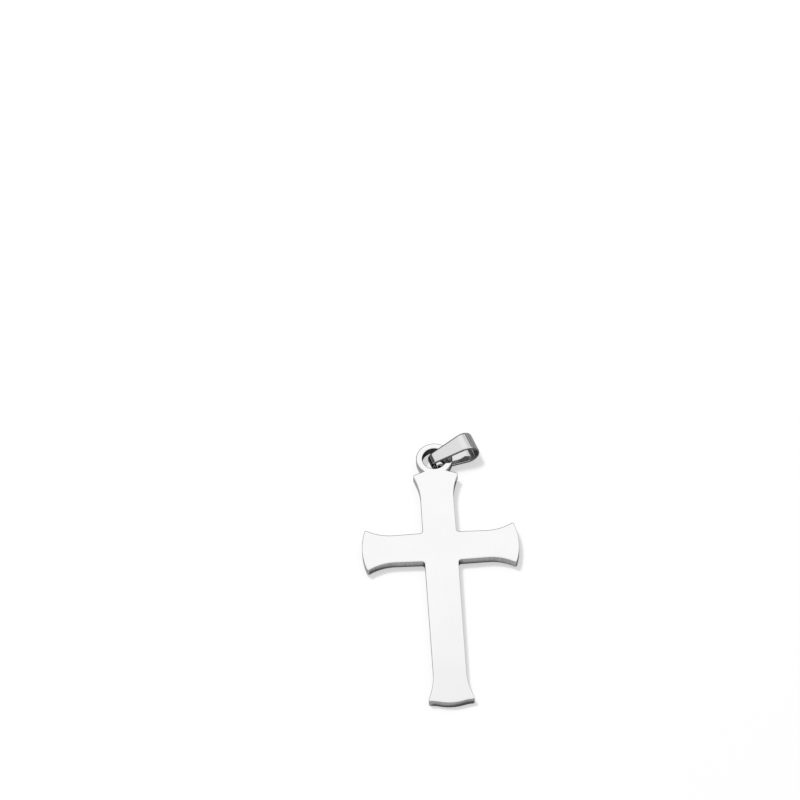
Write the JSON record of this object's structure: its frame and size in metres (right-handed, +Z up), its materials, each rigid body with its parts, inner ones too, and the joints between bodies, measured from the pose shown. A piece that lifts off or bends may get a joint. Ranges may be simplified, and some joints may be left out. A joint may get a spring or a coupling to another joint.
{
  "type": "cross pendant",
  "caption": "Flat cross pendant with flared arms and a bell-shaped foot, a round eye above the upper arm and a swinging strip bail that takes a chain.",
  "frame": {"origin": "centre of the base of the bounding box, on the surface that the pendant lies on face up", "axes": "+X towards the right-hand side arm as the polished face is looked at, +Y along the cross from its foot to the eye and the bail, +Z up, out of the polished face"},
  "size_m": [0.03, 0.0602, 0.0049],
  "materials": {
    "cross_steel": "mirror-polished stainless steel on the faces and the rims, with a smoother grey cut edge round the plate",
    "bail_steel": "polished stainless steel strip"
  },
  "bodies": {
    "cross": {"cross": "cross_steel"},
    "bail": {"bail": "bail_steel"}
  },
  "joints": [
    {"name": "bail_swing", "type": "hinge", "parent": "cross", "child": "bail", "pos_m": [0.00248, 0.02614, 0.00173], "axis": [0.3256, -0.9455, 0], "range_deg": [-140, 115]}
  ]
}
